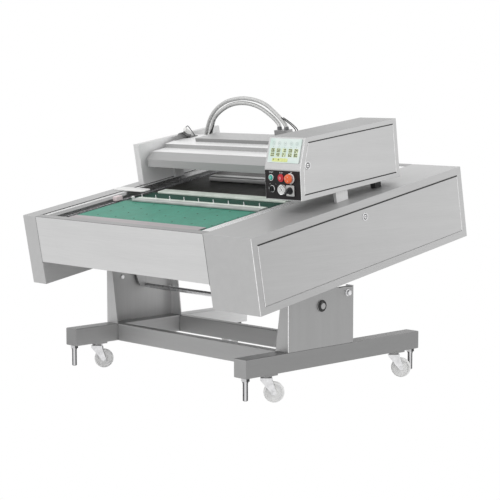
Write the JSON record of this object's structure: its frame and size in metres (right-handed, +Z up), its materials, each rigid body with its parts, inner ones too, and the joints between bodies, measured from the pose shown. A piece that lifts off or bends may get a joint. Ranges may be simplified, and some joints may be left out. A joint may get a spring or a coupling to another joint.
{
  "type": "vacuum packing machine",
  "caption": "Belt-fed chamber vacuum packing machine with a tilting table, a lifting lid, a control housing and a frame on swivel casters.",
  "frame": {"origin": "on the floor under the middle of the machine's outline", "axes": "+X to the operator's right, +Y from the infeed to the outfeed, +Z up"},
  "size_m": [1.5068, 1.3685, 1.2626],
  "materials": {
    "brushed steel": "brushed",
    "frame steel": "satin",
    "bright steel": "polished",
    "zinc plate": "satin",
    "white nylon": "matte",
    "black plastic": "matte",
    "green belt": "matte",
    "pale green bar": "matte",
    "steel braid": "braided",
    "screen": "gloss",
    "green plastic": "gloss",
    "red plastic": "gloss",
    "orange plastic": "gloss",
    "white plastic": "gloss"
  },
  "bodies": {
    "base": {"left_rail": "frame steel", "right_rail": "frame steel", "front_cross_rail": "frame steel", "rear_cross_rail": "frame steel", "left_column": "frame steel", "right_column": "frame steel", "tie_bar": "bright steel", "left_front_foot": "zinc plate", "left_rear_foot": "zinc plate", "right_front_foot": "zinc plate", "right_rear_foot": "zinc plate"},
    "table": {"left_side_box": "brushed steel", "right_side_box": "brushed steel", "right_side_cover": "brushed steel", "front_panel": "brushed steel", "rear_panel": "brushed steel", "table_floor": "frame steel", "left_guide_rail": "bright steel", "right_guide_rail": "bright steel", "left_cheek_plate": "frame steel", "right_cheek_plate": "frame steel", "conveyor_belt": "green belt", "drive_chain": "frame steel", "belt_bed": "frame steel", "front_roller": "zinc plate", "rear_roller": "zinc plate", "front_seal_bar": "pale green bar", "rear_seal_bar": "pale green bar", "chamber_rest_bar": "brushed steel", "infeed_plate": "pale green bar", "right_housing": "brushed steel", "right_housing_cover": "brushed steel", "right_post": "brushed steel", "rear_bracket": "black plastic", "left_arm": "brushed steel", "left_arm_post": "bright steel", "screen": "screen", "control_plate": "black plastic", "vacuum_gauge": "white plastic"},
    "lid": {"lid_shell": "brushed steel", "lid_valve_cover": "brushed steel", "lid_bracket": "frame steel", "outer_hose": "steel braid", "inner_hose": "steel braid"},
    "left_front_swivel": {"left_front_fork": "zinc plate"},
    "left_front_wheel": {"left_front_wheel": "white nylon"},
    "left_rear_swivel": {"left_rear_fork": "zinc plate"},
    "left_rear_wheel": {"left_rear_wheel": "white nylon"},
    "right_front_swivel": {"right_front_fork": "zinc plate"},
    "right_front_wheel": {"right_front_wheel": "white nylon"},
    "right_rear_swivel": {"right_rear_fork": "zinc plate"},
    "right_rear_wheel": {"right_rear_wheel": "white nylon"},
    "start_button": {"start_button": "green plastic"},
    "stop_button": {"stop_button": "red plastic"},
    "emergency_stop": {"emergency_stop": "orange plastic"},
    "selector_switch": {"selector_switch": "black plastic"},
    "main_switch": {"main_switch": "black plastic"}
  },
  "joints": [
    {"name": "table_tilt", "type": "hinge", "parent": "base", "child": "table", "pos_m": [0, -0.11315, 0.3808], "axis": [1, 0, 0], "range_deg": [-10.1, 0]},
    {"name": "lid_lift", "type": "slide", "parent": "table", "child": "lid", "axis": [0, -0.1754, 0.9845], "range_m": [-0.075, 0], "deforming": ["outer_hose", "inner_hose"]},
    {"name": "left_front_swivel_turn", "type": "hinge", "parent": "base", "child": "left_front_swivel", "pos_m": [-0.563, -0.4097, 0.105], "axis": [0, 0, 1], "continuous": true},
    {"name": "left_front_wheel_roll", "type": "hinge", "parent": "left_front_swivel", "child": "left_front_wheel", "pos_m": [-0.53966, -0.38637, 0.044], "axis": [-0.7071, 0.7071, 0], "continuous": true},
    {"name": "left_rear_swivel_turn", "type": "hinge", "parent": "base", "child": "left_rear_swivel", "pos_m": [-0.563, 0.4053, 0.105], "axis": [0, 0, 1], "continuous": true},
    {"name": "left_rear_wheel_roll", "type": "hinge", "parent": "left_rear_swivel", "child": "left_rear_wheel", "pos_m": [-0.53966, 0.42863, 0.044], "axis": [-0.7071, 0.7071, 0], "continuous": true},
    {"name": "right_front_swivel_turn", "type": "hinge", "parent": "base", "child": "right_front_swivel", "pos_m": [0.563, -0.4097, 0.105], "axis": [0, 0, 1], "continuous": true},
    {"name": "right_front_wheel_roll", "type": "hinge", "parent": "right_front_swivel", "child": "right_front_wheel", "pos_m": [0.58634, -0.38637, 0.044], "axis": [-0.7071, 0.7071, 0], "continuous": true},
    {"name": "right_rear_swivel_turn", "type": "hinge", "parent": "base", "child": "right_rear_swivel", "pos_m": [0.563, 0.4053, 0.105], "axis": [0, 0, 1], "continuous": true},
    {"name": "right_rear_wheel_roll", "type": "hinge", "parent": "right_rear_swivel", "child": "right_rear_wheel", "pos_m": [0.58634, 0.42863, 0.044], "axis": [-0.7071, 0.7071, 0], "continuous": true},
    {"name": "start_button_press", "type": "slide", "parent": "table", "child": "start_button", "axis": [0, 0.9971, 0.0765], "range_m": [0, 0.004], "stiffness_N_per_m": 800, "springref_m": -0.002},
    {"name": "stop_button_press", "type": "slide", "parent": "table", "child": "stop_button", "axis": [0, 0.9971, 0.0765], "range_m": [0, 0.004], "stiffness_N_per_m": 800, "springref_m": -0.002},
    {"name": "emergency_stop_press", "type": "slide", "parent": "table", "child": "emergency_stop", "axis": [0, 0.9971, 0.0765], "range_m": [0, 0.004], "stiffness_N_per_m": 800, "springref_m": -0.002},
    {"name": "selector_turn", "type": "hinge", "parent": "table", "child": "selector_switch", "pos_m": [0.5266, -0.33465, 0.88941], "axis": [0, -0.9971, -0.0765], "range_deg": [0, 60]},
    {"name": "main_switch_turn", "type": "hinge", "parent": "table", "child": "main_switch", "pos_m": [0.634, -0.33438, 0.88592], "axis": [0, -0.9971, -0.0765], "range_deg": [0, 90]}
  ]
}
